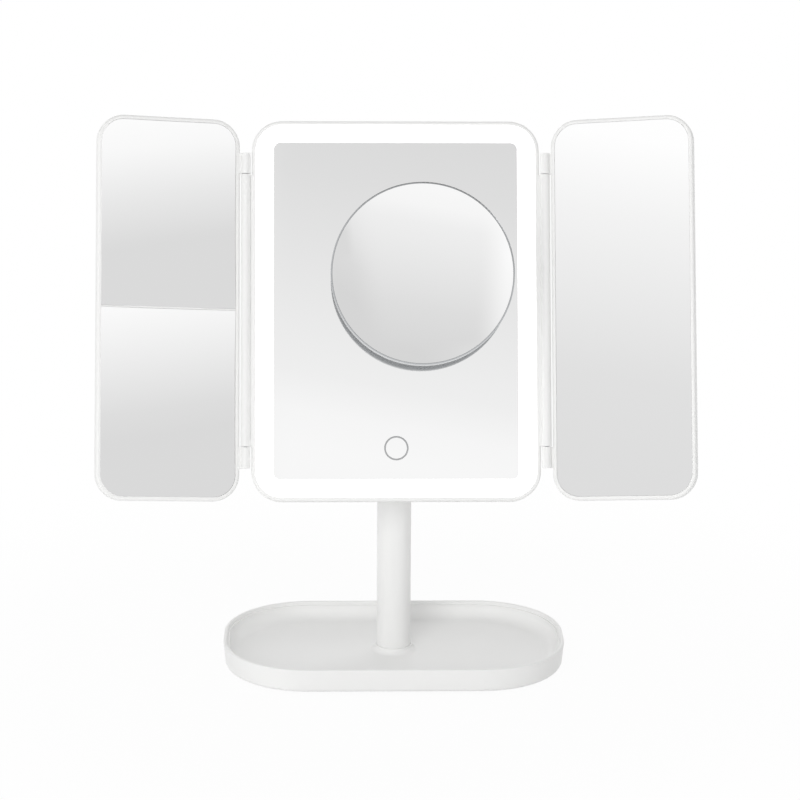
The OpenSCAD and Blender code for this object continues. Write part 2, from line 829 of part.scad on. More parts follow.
module battery_door() {
    grip_w = 20;
    grip_h = 1.1;
    grip_up = 10;                   // lowest groove above the cover's edge
    grip_pitch = 2.4;
    color(white) on_head() {
        translate([0, 0, bay_up]) difference() {
            sweep_depth(door_w, door_h, door_r, door_top, door_top + door_t) difference() {
                translate([0, panel_depth + door_clear])
                    soft_rect(door_r, door_top + door_t - panel_depth - door_clear, tr = 3.5);
                translate([-1, panel_depth - 1])
                    soft_rect(door_r - door_t + 1, door_top - panel_depth + 1, tr = 2.2);
            }
            // ribbed thumb grip near the lower edge
            for (i = [0 : 4]) translate([0, 0, -door_h / 2 + grip_up + grip_pitch * i])
                plate(door_top + door_t - 0.5, door_top + door_t + 1) obround(grip_w, grip_h);
        }
        for (x = [-1, 1], z = hook_spots()) translate([x * hook_x, 0, z]) {
            plate(back_plate - 1.4, door_top + 0.2) square([hook_t, hook_w], center = true);
            translate([-x * hook_foot / 2, 0, 0]) plate(back_plate - 1.4, back_plate - 0.2)
                square([hook_t + hook_foot, hook_w], center = true);
        }
    }
}

// ---------- wings ----------

// shell of a wing as it lies to the right of its hinge
module wing_shell(split) {
    difference() {
        union() {
            wing_middle() {
                sweep_depth(wing_w, panel_h, wing_r, wing_depth - wing_plate, wing_depth) difference() {
                    soft_rect(wing_r, wing_depth, tr = 3, br = 1.4);
                    translate([-1, -1]) soft_rect(wing_r - rim + 1, wing_depth - wing_plate + 1, tr = 1);
                }
                if (split)
                    plate(seat, wing_depth - wing_plate + 0.1)
                        square([wing_in_w + 0.4, divider_w], center = true);
            }
            for (end = [-1, 1]) translate([0, 0, end * (barrel_len / 2 + knuckle_gap + knuckle_len / 2)]) {
                cylinder(d = barrel_d, h = knuckle_len, center = true);
                translate([0, 0.2 + hinge_lift, -knuckle_len / 2]) cube([wing_near + 1, leaf_t, knuckle_len]);
            }
        }
        cylinder(d = hinge_pin_d + 2 * run_fit, h = 2 * panel_h, center = true);
    }
}

// slumped glass: a slice of a hollow ball, hollow side to the viewer, with its rim at depth 0
module curved_glass(curve, thick, reach, sag) {
    translate([0, sag - curve, 0]) rotate([-90, 0, 0]) rotate_extrude($fn = 128) intersection() {
        translate([0, curve - 2 * sag - 2]) square([reach + 2, 2 * sag + thick + 4]);
        difference() {
            circle(curve + thick, $fn = 1440);
            circle(curve, $fn = 1440);
        }
    }
}

function corner_reach(w, h) = norm([w, h]) / 2;
function sag_of(curve, reach) = curve - sqrt(curve * curve - reach * reach);

// depth of a curved glass's back at radius r, measured from its rim
function back_at(curve, thick, reach, r) = sqrt(pow(curve + thick, 2) - r * r) - curve + sag_of(curve, reach);

// outline of one half of the left wing's mirror field, about its own middle
module half_field(way, inset = 0) {
    translate([0, -way * (half_h + divider_w) / 2]) intersection() {
        rounded_rect(wing_in_w - 2 * inset, wing_in_h - 2 * inset, wing_in_r - inset);
        translate([0, way * (half_h + divider_w) / 2])
            square([wing_in_w, half_h - 2 * inset], center = true);
    }
}

// a left mirror about its own middle, face seat behind the rim at its corners
module left_mirror_blank(way, curve) {
    reach = corner_reach(wing_in_w, half_h);
    sag = sag_of(curve, reach);
    translate([0, seat, 0]) intersection() {
        plate(-1, sag + wing_glass + 1) half_field(way, fit);
        curved_glass(curve, wing_glass, reach, sag);
    }
}

// foam pad between the deepest point of a left mirror and the shell
module left_pad(curve) {
    back = seat + back_at(curve, wing_glass, corner_reach(wing_in_w, half_h), 0);
    bar_back(back, wing_depth - wing_plate, wing_pad_d);
}

module on_left_half(way) {
    on_left_wing() wing_middle() translate([0, 0, way * (half_h + divider_w) / 2]) children();
}

module left_wing_shell() {
    color(white) on_left_wing() wing_shell(true);
}

module left_upper_mirror() {
    color(mirror_tone) on_left_half(1) left_mirror_blank(1, upper_curve);
}

module left_lower_mirror() {
    color(mirror_tone) on_left_half(-1) left_mirror_blank(-1, lower_curve);
}

module left_mirror_pads() {
    color("#5b5d60") {
        on_left_half(1) left_pad(upper_curve);
        on_left_half(-1) left_pad(lower_curve);
    }
}

module right_wing_shell() {
    color(white) on_right_wing() difference() {
        union() {
            wing_shell(false);
            // ribs that carry the flat glass
            wing_middle() plate(seat + wing_glass + wing_tape_t, wing_depth - wing_plate + 0.1) {
                for (z = [-1, 0, 1]) translate([0, z * wing_in_h / 3])
                    square([wing_in_w - 12, rib_t], center = true);
                for (x = [-1, 1]) translate([x * wing_in_w / 4, 0])
                    square([rib_t, wing_in_h - 24], center = true);
            }
        }
    }
}

module right_mirror_tape() {
    inner = wing_tape_in + wing_tape_w;
    color("#5b5d60") on_right_wing() wing_middle()
        plate(seat + wing_glass, seat + wing_glass + wing_tape_t) difference() {
            rounded_rect(wing_in_w - 2 * wing_tape_in, wing_in_h - 2 * wing_tape_in, wing_tape_in);
            rounded_rect(wing_in_w - 2 * inner, wing_in_h - 2 * inner, wing_tape_in);
        }
}

module right_mirror() {
    color(mirror_tone) on_right_wing() wing_middle()
        plate(seat, seat + wing_glass)
            rounded_rect(wing_in_w - 2 * fit, wing_in_h - 2 * fit, wing_in_r - fit);
}

// ---------- magnifier ----------

// turned piece of the magnifier: x is the radius and y the height above the mirror's face
module turned() {
    rotate([90, 0, 0]) rotate_extrude($fn = 128) children();
}

module magnifier_shell() {
    reach = mag_r - mag_ring - fit;
    seat_r = reach - mag_wall;
    glass_edge = mag_front - back_at(magnifier_curve, mag_glass_t, reach, seat_r) - 0.02;
    color("#8f9294") on_magnifier() difference() {
        turned() difference() {
            union() {
                translate([0, mag_back]) soft_rect(mag_r, magnifier_depth - ring_h, br = 4);
                translate([0, mag_back + magnifier_depth / 3])
                    square([reach, glass_edge - mag_back - magnifier_depth / 3]);
            }
            translate([-1, mag_back + mag_wall]) soft_rect(seat_r + 1, magnifier_depth, br = 3);
        }
        for (a = cup_angles()) rotate([0, a, 0]) translate([cup_ring_r, 0, 0])
            rotate([90, 0, 0]) cylinder(r = cup_stem + fit / 2, h = 3 * mag_back, center = true);
    }
}

module magnifier_ring() {
    color("#7b7e80") on_magnifier() turned() translate([mag_r - mag_ring, mag_front - ring_h + 0.05])
        soft_rect(mag_ring, ring_h - 0.05, tr = 0.5);
}

module magnifier_mirror() {
    reach = mag_r - mag_ring - fit;
    sag = sag_of(magnifier_curve, reach);
    color(mirror_tone) on_magnifier() translate([0, -mag_front, 0]) intersection() {
        plate(-1, sag + mag_glass_t + 1) circle(reach, $fn = 128);
        curved_glass(magnifier_curve, mag_glass_t, reach, sag);
    }
}

function cup_angles() = [for (i = [0 : cup_count - 1]) 90 + 360 / cup_count * i];

// suction cup: thin bell on a button that snaps through the case
module suction_cups() {
    lip = 1.2;
    color(rubber) on_magnifier() for (a = cup_angles()) rotate([0, a, 0]) translate([cup_ring_r, 0, 0])
        turned() difference() {
            union() {
                polygon([[0, fit], [cup_d / 2, fit], [cup_d / 2 - 0.6, fit + lip], [cup_d / 5, cup_h - 2],
                         [cup_d / 5, cup_h], [cup_stem, cup_h], [cup_stem, cup_h + mag_wall],
                         [0, cup_h + mag_wall]]);
                translate([0, cup_h + mag_wall]) soft_rect(cup_stem + 1, 1.6, tr = 1);
            }
            polygon([[-1, -1], [cup_d / 2 - lip, -1], [cup_d / 2 - lip, fit + 0.3],
                     [0, cup_h * 0.45], [-1, cup_h * 0.45]]);
        }
}

tray();
base_cover();
ballast();
base_pad();
base_screws();
post_tube();
post_foot();
post_bolt();
tilt_knuckle();
tilt_axle();
tilt_washers();
axle_nut();
ear_caps();
centre_bezel();
light_diffuser();
centre_mirror();
touch_ring();
mirror_tape();
mirror_carrier();
led_board();
leds();
control_board();
touch_contact();
usb_socket();
back_shell();
back_screws();
cells();
battery_contacts();
battery_door();
hinge_pins();
left_wing_shell();
left_mirror_pads();
left_upper_mirror();
left_lower_mirror();
right_wing_shell();
right_mirror_tape();
right_mirror();
magnifier_shell();
magnifier_ring();
magnifier_mirror();
suction_cups();
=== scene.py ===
import math

import bpy
from mathutils import Matrix, Vector


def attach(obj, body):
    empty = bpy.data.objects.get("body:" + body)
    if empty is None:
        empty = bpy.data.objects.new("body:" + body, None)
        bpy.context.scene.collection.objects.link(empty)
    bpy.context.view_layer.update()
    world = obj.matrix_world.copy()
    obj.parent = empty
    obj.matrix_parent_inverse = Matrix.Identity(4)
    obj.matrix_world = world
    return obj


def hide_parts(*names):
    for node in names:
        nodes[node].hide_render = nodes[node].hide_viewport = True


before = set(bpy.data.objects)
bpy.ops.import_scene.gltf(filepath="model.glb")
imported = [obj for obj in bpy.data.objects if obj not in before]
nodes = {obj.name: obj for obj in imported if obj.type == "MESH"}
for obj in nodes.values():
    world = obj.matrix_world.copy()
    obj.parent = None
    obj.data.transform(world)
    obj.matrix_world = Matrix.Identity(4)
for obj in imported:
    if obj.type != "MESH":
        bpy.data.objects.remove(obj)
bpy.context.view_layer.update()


# ---- Camera ----
# A long lens a little above the mirror's middle and almost square to it. Its place was found
# together with the mirror's sizes, and is measured from the middle of the base.

mm = 0.001
turn, look_down, roll = math.radians(-1.5), math.radians(15.47), math.radians(0.35)
rightwards, upwards, backwards = 4.06 * mm, 161.51 * mm, 1621.42 * mm
focal_pixels, frame_pixels, sensor_mm = 2596.4, 800, 36
level_back = Vector((math.sin(turn), -math.cos(turn), 0))
back = level_back * math.cos(look_down) + Vector((0, 0, 1)) * math.sin(look_down)
level_right = Vector((math.cos(turn), math.sin(turn), 0))
level_up = back.cross(level_right)
right = level_right * math.cos(roll) + level_up * math.sin(roll)
up = level_up * math.cos(roll) - level_right * math.sin(roll)
stand = right * rightwards + up * upwards + back * backwards
camera = bpy.data.objects.new("camera", bpy.data.cameras.new("camera"))
bpy.context.scene.collection.objects.link(camera)
camera.matrix_world = Matrix.Translation(stand) @ Matrix((right, up, back)).transposed().to_4x4()
camera.data.sensor_width = sensor_mm
camera.data.lens = focal_pixels / frame_pixels * sensor_mm
camera.data.clip_start = 0.01
camera.data.clip_end = 60
bpy.context.scene.camera = camera


# ---- Room walls ----
# A white studio as the mirrors see it: paper that is white low down and greyer higher up, in
# front also greyer to the right, grey paper far round to the sides, and a dim ceiling.

def tint(code):
    """An sRGB hex colour as linear red, green, blue and alpha."""
    parts = [int(code[i:i + 2], 16) / 255 for i in (1, 3, 5)]
    return [c / 12.92 if c <= 0.04045 else ((c + 0.055) / 1.055) ** 2.4 for c in parts] + [1]


def add(tree, kind, inputs=None, **settings):
    """One shader node with its settings, and its inputs set or linked."""
    made = tree.nodes.new("ShaderNode" + kind)
    for name, value in settings.items():
        setattr(made, name, value)
    for name, value in (inputs or {}).items():
        if isinstance(value, bpy.types.NodeSocket):
            tree.links.new(value, made.inputs[name])
        else:
            made.inputs[name].default_value = value
    return made


def fill_ramp(ramp, stops):
    """Sets a colour ramp from (position, sRGB hex) pairs."""
    while len(ramp.color_ramp.elements) < len(stops):
        ramp.color_ramp.elements.new(0.5)
    for stop, (place, code) in zip(ramp.color_ramp.elements, stops):
        stop.position = place
        stop.color = tint(code)


def wall(stops):
    """Paper whose tone follows its height, from (degrees above the horizon, sRGB hex) pairs."""
    made = add(sky, "ValToRGB", {0: height.outputs[0]})
    fill_ramp(made, [(angle / zenith, code) for angle, code in stops])
    return made


def beyond(angle, start, end):
    """0 up to one angle and 1 from the other on, in degrees, with a soft change between them."""
    return add(sky, "MapRange", {"Value": angle.outputs[0], "From Min": math.radians(start),
                                 "From Max": math.radians(end)}, interpolation_type="SMOOTHSTEP")


white, zenith = tint("#ffffff"), 90
world = bpy.data.worlds.new("studio")
bpy.context.scene.world = world
world.use_nodes = True
sky = world.node_tree
sky.nodes.clear()

# where a mirror looks: its height as a share of the way to the zenith, and its bearing from
# straight ahead, positive to the right
sight = add(sky, "SeparateXYZ", {0: add(sky, "TexCoord").outputs["Generated"]})
height = add(sky, "Math", {0: sight.outputs["Z"]}, operation="ARCSINE")
height = add(sky, "Math", {0: height.outputs[0], 1: 1 / math.radians(zenith)}, operation="MULTIPLY")
ahead = add(sky, "Math", {0: sight.outputs["Y"], 1: -1.0}, operation="MULTIPLY")
bearing = add(sky, "Math", {0: sight.outputs["X"], 1: ahead.outputs[0]}, operation="ARCTAN2")

ceiling = [(50, "#c8c8c8"), (60, "#3a3a3a"), (90, "#1c1c1c")]
left_wall = wall([(20.5, "#dddddd"), (22.6, "#e0e0e0"), (26.0, "#f2f2f2"), (27.8, "#fefefe"),
                  (40, "#ffffff")] + ceiling)
right_wall = wall([(20, "#fdfdfd"), (22.3, "#f8f8f8"), (25, "#e8e8e8"), (27.6, "#dadada"),
                   (46, "#d9d9d9")] + ceiling)
behind = wall([(17, "#f4f4f4"), (23, "#d6d6d6"), (34, "#cfcfcf")] + ceiling)
far_side = wall([(0, "#f0f0f0"), (14, "#e6e6e6"), (30, "#d6d6d6")] + ceiling)

# in front, a step to the right counts as part of a step up
slant_share, slant_low, slant_high = 0.83, -10, 60
slant = add(sky, "Math", {0: bearing.outputs[0], 1: slant_share / math.radians(zenith),
                          2: height.outputs[0]}, operation="MULTIPLY_ADD")
slant = add(sky, "MapRange", {"Value": slant.outputs[0], "From Min": slant_low / zenith,
                              "From Max": slant_high / zenith})
front_paper = add(sky, "ValToRGB", {0: slant.outputs[0]})
fill_ramp(front_paper, [((angle - slant_low) / (slant_high - slant_low), code) for angle, code in (
    (0, "#fdfdfd"), (9.5, "#fafafa"), (24, "#eeeeee"), (39.3, "#dadada"), (47, "#d5d5d5"))])

# the walls joined to one room; 6 and 7 are the colour inputs of a Mix node, 2 is its colour output
over = add(sky, "MapRange", {"Value": height.outputs[0], "From Min": 46 / zenith,
                             "From Max": 56 / zenith})
front_wall = add(sky, "Mix", {0: over.outputs[0], 6: front_paper.outputs[0], 7: behind.outputs[0]},
                 data_type="RGBA")
left_to_front = add(sky, "Mix", {0: beyond(bearing, -26, -20).outputs[0], 6: left_wall.outputs[0],
                                 7: front_wall.outputs[2]}, data_type="RGBA")
walls = add(sky, "Mix", {0: beyond(bearing, 21.5, 25).outputs[0], 6: left_to_front.outputs[2],
                         7: right_wall.outputs[0]}, data_type="RGBA")
aside = add(sky, "Math", {0: bearing.outputs[0]}, operation="ABSOLUTE")
rounded = add(sky, "Mix", {0: beyond(aside, 41, 52).outputs[0], 6: walls.outputs[2],
                           7: far_side.outputs[0]}, data_type="RGBA")
facing = add(sky, "MapRange", {"Value": ahead.outputs[0], "From Min": -0.3, "From Max": 0.1},
             interpolation_type="SMOOTHSTEP")
rooms = add(sky, "Mix", {0: facing.outputs[0], 6: behind.outputs[0], 7: rounded.outputs[2]},
            data_type="RGBA")

# silvered glass keeps about a twentieth of the light, which the paper makes up for; the backdrop
# straight behind is lit strongly, which draws a bright line on upward edges
glass_loss, backlight = 1.05, 2.0
backlit = add(sky, "MapRange", {"Value": ahead.outputs[0], "From Min": -0.97, "From Max": -0.93,
                                "To Min": backlight, "To Max": glass_loss},
              interpolation_type="SMOOTHSTEP")
mirrored = add(sky, "Background", {"Color": rooms.outputs[2], "Strength": backlit.outputs[0]})

# light that falls on the mirror from all round, weaker from the right and from overhead
fill_left, fill_right, fill_overhead = 0.84, 0.52, 0.72
weaker = add(sky, "MapRange", {"Value": sight.outputs["X"], "From Min": -1.0, "From Max": 1.0,
                               "To Min": fill_left, "To Max": fill_right})
lower = add(sky, "MapRange", {"Value": sight.outputs["Z"], "From Min": 0.1, "From Max": 1.0,
                              "To Min": 1.0, "To Max": fill_overhead})
level = add(sky, "Math", {0: weaker.outputs[0], 1: lower.outputs[0]}, operation="MULTIPLY")
fill = add(sky, "Background", {"Color": white, "Strength": level.outputs[0]})

# straight to the eye, and through clear pieces, the room is plain white
seen = add(sky, "Background", {"Color": white, "Strength": 1.0})
path = add(sky, "LightPath")
shown = add(sky, "MixShader", {0: path.outputs["Is Glossy Ray"], 1: fill.outputs[0],
                               2: mirrored.outputs[0]})
for ray in ("Is Camera Ray", "Is Transmission Ray"):
    shown = add(sky, "MixShader", {0: path.outputs[ray], 1: shown.outputs[0], 2: seen.outputs[0]})
add(sky, "OutputWorld", {"Surface": shown.outputs[0]})


# ---- Table ----
# A wide white painted top. To the eye it is the white of the backdrop with a trace of the
# shadow under the tray, and mirrors and clear pieces see the same white.

table_wide = 40
shadow_near, shadow_far, near_white = 0.12, 0.45, 0.95
bpy.ops.object.select_all(action="DESELECT")
bpy.ops.mesh.primitive_plane_add(size=table_wide, location=(0, 0, 0))
table = bpy.context.object
table.name = "table"
paint = bpy.data.materials.new("white_table_paint")
paint.use_nodes = True
tree = paint.node_tree
tree.nodes.clear()
matt = add(tree, "BsdfDiffuse", {"Color": tint("#f4f4f4")})
glow = add(tree, "Emission", {"Color": white, "Strength": 1.0})
path = add(tree, "LightPath")
direct = add(tree, "Math", {0: 1.0, 1: path.outputs["Is Diffuse Ray"]}, operation="SUBTRACT")
away = add(tree, "VectorMath", {0: add(tree, "TexCoord").outputs["Object"]}, operation="LENGTH")
plain = add(tree, "MapRange", {"Value": away.outputs["Value"], "From Min": shadow_near,
                               "From Max": shadow_far, "To Min": near_white, "To Max": 1.0},
            interpolation_type="SMOOTHSTEP")
share = add(tree, "Math", {0: direct.outputs[0], 1: plain.outputs[0]}, operation="MULTIPLY")
top = add(tree, "MixShader", {0: share.outputs[0], 1: matt.outputs[0], 2: glow.outputs[0]})
add(tree, "OutputMaterial", {"Surface": top.outputs[0]})
table.data.materials.append(paint)


# ---- Reflector cards ----
# Two soft-edged paper cards that only mirrors see, white below and pale grey above. The centre
# mirror looks at the one in front, the left wing's lower glass at the one on the right.

def card(name, foot, angle, reach, across, heights, soft, lean, stops):
    """An upright card, in metres, at an angle and distance from a foot on the table. Its tone
    follows its height, plus a share of the place across, from (height, sRGB hex) pairs."""
    forward = Vector((math.sin(angle), -math.cos(angle), 0))
    sideways = Vector((math.cos(angle), math.sin(angle), 0))
    wide, high = across[1] - across[0], heights[1] - heights[0]
    middle = foot + forward * reach + sideways * sum(across) / 2 + Vector((0, 0, sum(heights) / 2))
    bpy.ops.object.select_all(action="DESELECT")
    bpy.ops.mesh.primitive_plane_add(size=1)
    sheet = bpy.context.object
    sheet.name = name
    sheet.matrix_world = (Matrix.Translation(middle)
                          @ Matrix((sideways, Vector((0, 0, 1)), -forward)).transposed().to_4x4()
                          @ Matrix.Diagonal((wide, high, 1, 1)))
    paper = bpy.data.materials.new(name + "_paper")
    paper.use_nodes = True
    tree = paper.node_tree
    tree.nodes.clear()
    spot = add(tree, "SeparateXYZ", {0: add(tree, "TexCoord").outputs["Object"]})
    level = add(tree, "Math", {0: spot.outputs["X"], 1: lean * wide / high, 2: spot.outputs["Y"]},
                operation="MULTIPLY_ADD")
    level = add(tree, "MapRange", {"Value": level.outputs[0], "From Min": -0.5, "From Max": 0.5})
    shade = add(tree, "ValToRGB", {0: level.outputs[0]})
    fill_ramp(shade, [((z - heights[0]) / high, code) for z, code in stops])
    shaded = add(tree, "Emission", {"Color": shade.outputs[0], "Strength": glass_loss})
    fades = []
    for axis, size in (("X", wide), ("Y", high)):
        off = add(tree, "Math", {0: spot.outputs[axis]}, operation="ABSOLUTE")
        fades.append(add(tree, "MapRange", {"Value": off.outputs[0], "From Min": 0.5 - soft / size,
                                            "From Max": 0.5, "To Min": 1.0, "To Max": 0.0},
                         interpolation_type="SMOOTHSTEP"))
    solid = add(tree, "Math", {0: fades[0].outputs[0], 1: fades[1].outputs[0]}, operation="MULTIPLY")
    faded = add(tree, "MixShader", {0: solid.outputs[0], 1: add(tree, "BsdfTransparent").outputs[0],
                                    2: shaded.outputs[0]})
    add(tree, "OutputMaterial", {"Surface": faded.outputs[0]})
    sheet.data.materials.append(paper)
    for ray in ("camera", "diffuse", "transmission", "shadow", "volume_scatter"):
        setattr(sheet, "visible_" + ray, False)


card("front_card", foot=Vector((0.02, 0, 0)), angle=0, reach=0.7, across=(-0.17, 0.18),
     heights=(0.34, 0.86), soft=0.08, lean=0.2,
     stops=((0.42, "#f7f7f7"), (0.453, "#f5f5f5"), (0.491, "#eeeeee"), (0.692, "#dddddd"),
            (0.845, "#d5d5d5")))
card("right_card", foot=Vector((-0.13, -0.01, 0)), angle=math.radians(30.5), reach=0.9,
     across=(-0.12, 0.06), heights=(0.43, 0.64), soft=0.03, lean=0,
     stops=((0.455, "#fefefe"), (0.536, "#dddddd"), (0.555, "#d9d9d9")))


# ---- Lamps ----
# A large softbox in front, a little to the left, and a weaker one behind on the right. Both
# light the mirror without showing in its glass.

def softbox(name, spot, aim, wide, watts):
    """A square lamp at a place and aimed at another, in metres, that mirrors don't see."""
    lamp = bpy.data.objects.new(name, bpy.data.lights.new(name, "AREA"))
    lamp.data.size = wide
    lamp.data.energy = watts
    lamp.location = spot
    lamp.rotation_euler = (Vector(aim) - Vector(spot)).to_track_quat("-Z", "Y").to_euler()
    lamp.visible_glossy = False
    bpy.context.scene.collection.objects.link(lamp)


softbox("key_softbox", spot=(-0.5, -1.7, 0.85), aim=(0, 0, 0.15), wide=0.9, watts=11.5)
softbox("back_softbox", spot=(0.8, 1.2, 1.0), aim=(0, 0, 0.2), wide=0.9, watts=4)


# ---- Base cover, pad and weight ----
# A flat ABS cover closes the tray from below over a stamped steel weight. Four zinc-plated
# countersunk screws hold it, and one die-cut EVA foam pad is glued under it.

def finish(name, code, rough, **more):
    """A Principled material with its tree, its shader and the object's own coordinates, ready
    for its pattern."""
    made = bpy.data.materials.new(name)
    made.use_nodes = True
    tree = made.node_tree
    shader = tree.nodes["Principled BSDF"]
    shader.inputs["Base Color"].default_value = tint(code)
    shader.inputs["Roughness"].default_value = rough
    for key, value in more.items():
        shader.inputs[key.replace("_", " ")].default_value = value
    return made, tree, shader, add(tree, "TexCoord").outputs["Object"]


def dress(names, material):
    """Gives CAD nodes their finish through the slots of their objects."""
    for name in names:
        for slot in nodes[name].material_slots:
            slot.material = material


def per_mm(size):
    """Texture scale at which one grain of a pattern is that many millimetres wide."""
    return 1000 / size


def uneven_gloss(tree, shader, spot, patch, low, high, detail=2.0):
    """Roughness that wanders between two values, in patches of a width in millimetres."""
    patches = add(tree, "TexNoise", {"Vector": spot, "Scale": per_mm(patch), "Detail": detail})
    gloss = add(tree, "MapRange", {"Value": patches.outputs["Fac"], "To Min": low, "To Max": high})
    tree.links.new(gloss.outputs[0], shader.inputs["Roughness"])


def moulded(name, code, rough, grain, depth):
    """White ABS from the mould: a faint grain of its own width and depth in millimetres, and a
    sheen that wanders a little where the melt flowed."""
    made, tree, shader, spot = finish(name, code, rough, IOR=1.53)
    flow_mark, wander = 45, 0.04
    uneven_gloss(tree, shader, spot, flow_mark, rough - wander, rough + wander, detail=1.0)
    skin = add(tree, "TexNoise", {"Vector": spot, "Scale": per_mm(grain), "Detail": 2.0})
    bump = add(tree, "Bump", {"Height": skin.outputs["Fac"], "Strength": 1.0, "Distance": depth * mm})
    tree.links.new(bump.outputs[0], shader.inputs["Normal"])
    return made


# spark-eroded mould: an even matt grain that hides finger marks
grained_abs = moulded("spark_grained_white_abs", "#f2f2f1", 0.5, grain=0.7, depth=0.006)
dress(["base_cover"], grained_abs)

# stamped from rolled sheet and zinc plated: grey, with a fine streak from rolling
steel, tree, shader, spot = finish("zinc_plated_steel", "#b6b8ba", 0.35, Metallic=1.0)
streak_mm, streak_narrowing = 8, 14
lay = add(tree, "Mapping", {"Vector": spot, "Scale": (1, streak_narrowing, streak_narrowing)})
uneven_gloss(tree, shader, lay.outputs[0], streak_mm, 0.28, 0.46, detail=4.0)
dress(["ballast", "base_screws"], steel)

# closed-cell EVA foam sheet: matt, pebbled by its cells
eva, tree, shader, spot = finish("eva_foam_sheet", "#dcdcda", 0.85)
cell = add(tree, "TexVoronoi", {"Vector": spot, "Scale": per_mm(0.9)})
pebble = add(tree, "Bump", {"Height": cell.outputs["Distance"], "Strength": 0.5, "Distance": 0.1 * mm})
tree.links.new(pebble.outputs[0], shader.inputs["Normal"])
dress(["base_pad"], eva)


# ---- Tray ----
# One injection moulding in white ABS: oval dish, thin upright rim and a flared collar that
# the post stands in. The mould is polished, so it comes out smooth with a soft gloss.

satin_abs = moulded("polished_mould_white_abs", "#f5f5f4", 0.34, grain=1.2, depth=0.002)
dress(["tray"], satin_abs)


# ---- Post and tilt joint ----
# A satin white tube, bolted to the tray through a steel plug in its foot, carries a moulded
# knuckle. Two ears of the back shell turn beside it on a steel axle with friction washers, a
# nut, and a press-on cap over each end.

dress(["post_tube", "tilt_knuckle", "ear_caps"], satin_abs)
dress(["post_foot", "post_bolt", "tilt_axle", "tilt_washers", "axle_nut"], steel)


# ---- Back shell and battery bay ----
# A grained ABS shell screwed to the carrier plate. A cover of the same ABS hooks into it over
# four slim dry cells in printed foil, held between plated steel contacts.

dress(["back_shell", "battery_door"], grained_abs)
dress(["back_screws", "battery_contacts", "usb_socket"], steel)

# shrunk printed foil: bright, with slack creases
foil, tree, shader, spot = finish("printed_foil_wrap", "#c9ccd0", 0.3, Metallic=0.9)
uneven_gloss(tree, shader, spot, 10, 0.22, 0.4)
dress(["cells"], foil)


# ---- Boards ----
# A ring-shaped lamp board with white solder mask, yellow phosphor lamps along its runs, and
# one green control board behind it, all on the white carrier plate.

dress(["mirror_carrier"], satin_abs)

# glossy white mask: the glass cloth under it shows as a faint mottle
board, tree, shader, spot = finish("white_mask_circuit_board", "#e9ece8", 0.35)
mottle = add(tree, "TexNoise", {"Vector": spot, "Scale": per_mm(2)})
speckle = add(tree, "ValToRGB", {0: mottle.outputs["Fac"]})
fill_ramp(speckle, [(0.3, "#e4e8e3"), (0.7, "#edf0ec")])
tree.links.new(speckle.outputs[0], shader.inputs["Base Color"])
dress(["led_board"], board)

# silicone filled with yellow phosphor grit
phosphor, tree, shader, spot = finish("yellow_phosphor_silicone", "#f3e29a", 0.3)
grit = add(tree, "TexNoise", {"Vector": spot, "Scale": per_mm(0.3)})
cast = add(tree, "ValToRGB", {0: grit.outputs["Fac"]})
fill_ramp(cast, [(0.3, "#eed98a"), (0.7, "#f7eaa8")])
tree.links.new(cast.outputs[0], shader.inputs["Base Color"])
dress(["leds"], phosphor)

# green mask over etched copper: the tracks show lighter
green_board, tree, shader, spot = finish("green_mask_circuit_board", "#2f6b4a", 0.3)
copper = add(tree, "TexWave", {"Vector": spot, "Scale": per_mm(25)})
tracks = add(tree, "ValToRGB", {0: copper.outputs["Fac"]})
fill_ramp(tracks, [(0.4, "#2a6344"), (0.6, "#387a55")])
tree.links.new(tracks.outputs[0], shader.inputs["Base Color"])
dress(["control_board"], green_board)


# ---- Bezel and lit band ----
# The bezel is a thin white ABS frame with both hinge barrels moulded on. Inside its rim lies
# a plate of frosted opal acrylic, which the lamps behind light evenly.

dress(["centre_bezel"], satin_abs)

# cast opal sheet, its face etched to scatter: even white with a very fine tooth
opal, tree, shader, spot = finish("frosted_opal_acrylic", "#ffffff", 0.4, IOR=1.49)
shader.inputs["Emission Color"].default_value = white
shader.inputs["Emission Strength"].default_value = 1.0
frost = add(tree, "TexNoise", {"Vector": spot, "Scale": per_mm(0.5)})
etched = add(tree, "Bump", {"Height": frost.outputs["Fac"], "Strength": 0.5, "Distance": 0.01 * mm})
tree.links.new(etched.outputs[0], shader.inputs["Normal"])
dress(["light_diffuser"], opal)


# ---- Centre mirror and touch ring ----
# Flat float glass, silvered on its back and held by grey foam tape. The switch is a ring
# etched through the silver, with a foam contact behind it.

# silver behind clear glass: neutral and perfectly sharp, with the faintest wiping haze where
# the pattern is strongest
silvered, tree, shader, spot = finish("back_silvered_glass", "#fafafa", 0.0, Metallic=1.0)
haze = add(tree, "TexNoise", {"Vector": spot, "Scale": per_mm(60)})
wipe = add(tree, "MapRange", {"Value": haze.outputs["Fac"], "From Min": 0.45, "From Max": 0.85,
                              "To Min": 0.0, "To Max": 0.01})
tree.links.new(wipe.outputs[0], shader.inputs["Roughness"])
dress(["centre_mirror"], silvered)

# acid-etched glass: grey and matt, slightly uneven
etched_ring, tree, shader, spot = finish("etched_glass_ring", "#a9aaab", 0.5)
frost = add(tree, "TexNoise", {"Vector": spot, "Scale": per_mm(0.4)})
bite = add(tree, "ValToRGB", {0: frost.outputs["Fac"]})
fill_ramp(bite, [(0.3, "#a5a6a7"), (0.7, "#adaeaf")])
tree.links.new(bite.outputs[0], shader.inputs["Base Color"])
dress(["touch_ring"], etched_ring)

